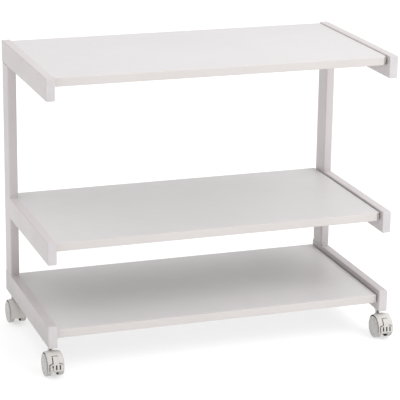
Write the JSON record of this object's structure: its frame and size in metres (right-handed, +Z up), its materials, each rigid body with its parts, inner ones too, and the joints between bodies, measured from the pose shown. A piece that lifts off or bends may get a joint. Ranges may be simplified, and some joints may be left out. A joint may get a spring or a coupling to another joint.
{
  "type": "mobile shelf stand",
  "caption": "Open mobile office stand: flat shelves between C-shaped side frames of rectangular tube, rolling on twin-wheel swivel casters with brake pedals at the front.",
  "frame": {"origin": "on the floor, under the middle of the stand's overall box", "axes": "+X to the right, +Y to the back, +Z up; the open side with the brake pedals faces -Y"},
  "size_m": [0.8206, 0.4256, 0.662],
  "materials": {
    "frame_paint": "satin powder coat",
    "plug_plastic": "matte",
    "shelf_board": "melamine-faced chipboard, light grey",
    "edging_plastic": "satin",
    "hood_plastic": "matte",
    "pedal_plastic": "matte",
    "wheel_plastic": "satin",
    "socket_plastic": "matte",
    "plated_steel": "zinc plated"
  },
  "bodies": {
    "frame": {"caster_sockets": "socket_plastic", "front_left_caster_stem": "plated_steel", "front_right_caster_stem": "plated_steel", "left_lower_arm": "frame_paint", "left_lower_front_plug": "plug_plastic", "left_lower_rear_plug": "plug_plastic", "left_middle_arm": "frame_paint", "left_middle_front_plug": "plug_plastic", "left_rear_post": "frame_paint", "left_shelf_angles": "frame_paint", "left_top_arm": "frame_paint", "left_top_front_plug": "plug_plastic", "left_top_rear_plug": "plug_plastic", "lower_shelf": "shelf_board", "lower_shelf_front_edging": "edging_plastic", "lower_shelf_rear_edging": "edging_plastic", "middle_shelf": "shelf_board", "middle_shelf_front_edging": "edging_plastic", "middle_shelf_rear_edging": "edging_plastic", "rear_left_caster_stem": "plated_steel", "rear_right_caster_stem": "plated_steel", "right_lower_arm": "frame_paint", "right_lower_front_plug": "plug_plastic", "right_lower_rear_plug": "plug_plastic", "right_middle_arm": "frame_paint", "right_middle_front_plug": "plug_plastic", "right_rear_post": "frame_paint", "right_shelf_angles": "frame_paint", "right_top_arm": "frame_paint", "right_top_front_plug": "plug_plastic", "right_top_rear_plug": "plug_plastic", "shelf_screws": "plated_steel", "top_shelf": "shelf_board", "top_shelf_front_edging": "edging_plastic", "top_shelf_rear_edging": "edging_plastic"},
    "front_left_caster_fork": {"front_left_caster_hood": "hood_plastic", "front_left_caster_axle": "plated_steel", "front_left_caster_brake_pin": "plated_steel"},
    "front_left_caster_left_wheel_body": {"front_left_caster_left_wheel": "wheel_plastic"},
    "front_left_caster_right_wheel_body": {"front_left_caster_right_wheel": "wheel_plastic"},
    "front_left_caster_brake_pedal_body": {"front_left_caster_brake_pedal": "pedal_plastic"},
    "front_right_caster_fork": {"front_right_caster_hood": "hood_plastic", "front_right_caster_axle": "plated_steel", "front_right_caster_brake_pin": "plated_steel"},
    "front_right_caster_left_wheel_body": {"front_right_caster_left_wheel": "wheel_plastic"},
    "front_right_caster_right_wheel_body": {"front_right_caster_right_wheel": "wheel_plastic"},
    "front_right_caster_brake_pedal_body": {"front_right_caster_brake_pedal": "pedal_plastic"},
    "rear_left_caster_fork": {"rear_left_caster_hood": "hood_plastic", "rear_left_caster_axle": "plated_steel"},
    "rear_left_caster_left_wheel_body": {"rear_left_caster_left_wheel": "wheel_plastic"},
    "rear_left_caster_right_wheel_body": {"rear_left_caster_right_wheel": "wheel_plastic"},
    "rear_right_caster_fork": {"rear_right_caster_hood": "hood_plastic", "rear_right_caster_axle": "plated_steel"},
    "rear_right_caster_left_wheel_body": {"rear_right_caster_left_wheel": "wheel_plastic"},
    "rear_right_caster_right_wheel_body": {"rear_right_caster_right_wheel": "wheel_plastic"}
  },
  "joints": [
    {"name": "front_left_caster_swivel", "type": "hinge", "parent": "frame", "child": "front_left_caster_fork", "pos_m": [-0.39, -0.15823, 0.0467], "axis": [0, 0, 1], "continuous": true},
    {"name": "front_left_caster_left_wheel_spin", "type": "hinge", "parent": "front_left_caster_fork", "child": "front_left_caster_left_wheel_body", "pos_m": [-0.39, -0.18024, 0.025], "axis": [1, 0, 0], "continuous": true},
    {"name": "front_left_caster_right_wheel_spin", "type": "hinge", "parent": "front_left_caster_fork", "child": "front_left_caster_right_wheel_body", "pos_m": [-0.39, -0.18024, 0.025], "axis": [1, 0, 0], "continuous": true},
    {"name": "front_left_caster_brake_tip", "type": "hinge", "parent": "front_left_caster_fork", "child": "front_left_caster_brake_pedal_body", "pos_m": [-0.39, -0.1976, 0.04722], "axis": [-1, 0, 0], "range_deg": [0, 25]},
    {"name": "front_right_caster_swivel", "type": "hinge", "parent": "frame", "child": "front_right_caster_fork", "pos_m": [0.39, -0.15823, 0.0467], "axis": [0, 0, 1], "continuous": true},
    {"name": "front_right_caster_left_wheel_spin", "type": "hinge", "parent": "front_right_caster_fork", "child": "front_right_caster_left_wheel_body", "pos_m": [0.39, -0.18024, 0.025], "axis": [1, 0, 0], "continuous": true},
    {"name": "front_right_caster_right_wheel_spin", "type": "hinge", "parent": "front_right_caster_fork", "child": "front_right_caster_right_wheel_body", "pos_m": [0.39, -0.18024, 0.025], "axis": [1, 0, 0], "continuous": true},
    {"name": "front_right_caster_brake_tip", "type": "hinge", "parent": "front_right_caster_fork", "child": "front_right_caster_brake_pedal_body", "pos_m": [0.39, -0.1976, 0.04722], "axis": [-1, 0, 0], "range_deg": [0, 25]},
    {"name": "rear_left_caster_swivel", "type": "hinge", "parent": "frame", "child": "rear_left_caster_fork", "pos_m": [-0.39, 0.18377, 0.0467], "axis": [0, 0, 1], "continuous": true},
    {"name": "rear_left_caster_left_wheel_spin", "type": "hinge", "parent": "rear_left_caster_fork", "child": "rear_left_caster_left_wheel_body", "pos_m": [-0.39, 0.16176, 0.025], "axis": [1, 0, 0], "continuous": true},
    {"name": "rear_left_caster_right_wheel_spin", "type": "hinge", "parent": "rear_left_caster_fork", "child": "rear_left_caster_right_wheel_body", "pos_m": [-0.39, 0.16176, 0.025], "axis": [1, 0, 0], "continuous": true},
    {"name": "rear_right_caster_swivel", "type": "hinge", "parent": "frame", "child": "rear_right_caster_fork", "pos_m": [0.39, 0.18377, 0.0467], "axis": [0, 0, 1], "continuous": true},
    {"name": "rear_right_caster_left_wheel_spin", "type": "hinge", "parent": "rear_right_caster_fork", "child": "rear_right_caster_left_wheel_body", "pos_m": [0.39, 0.16176, 0.025], "axis": [1, 0, 0], "continuous": true},
    {"name": "rear_right_caster_right_wheel_spin", "type": "hinge", "parent": "rear_right_caster_fork", "child": "rear_right_caster_right_wheel_body", "pos_m": [0.39, 0.16176, 0.025], "axis": [1, 0, 0], "continuous": true}
  ]
}
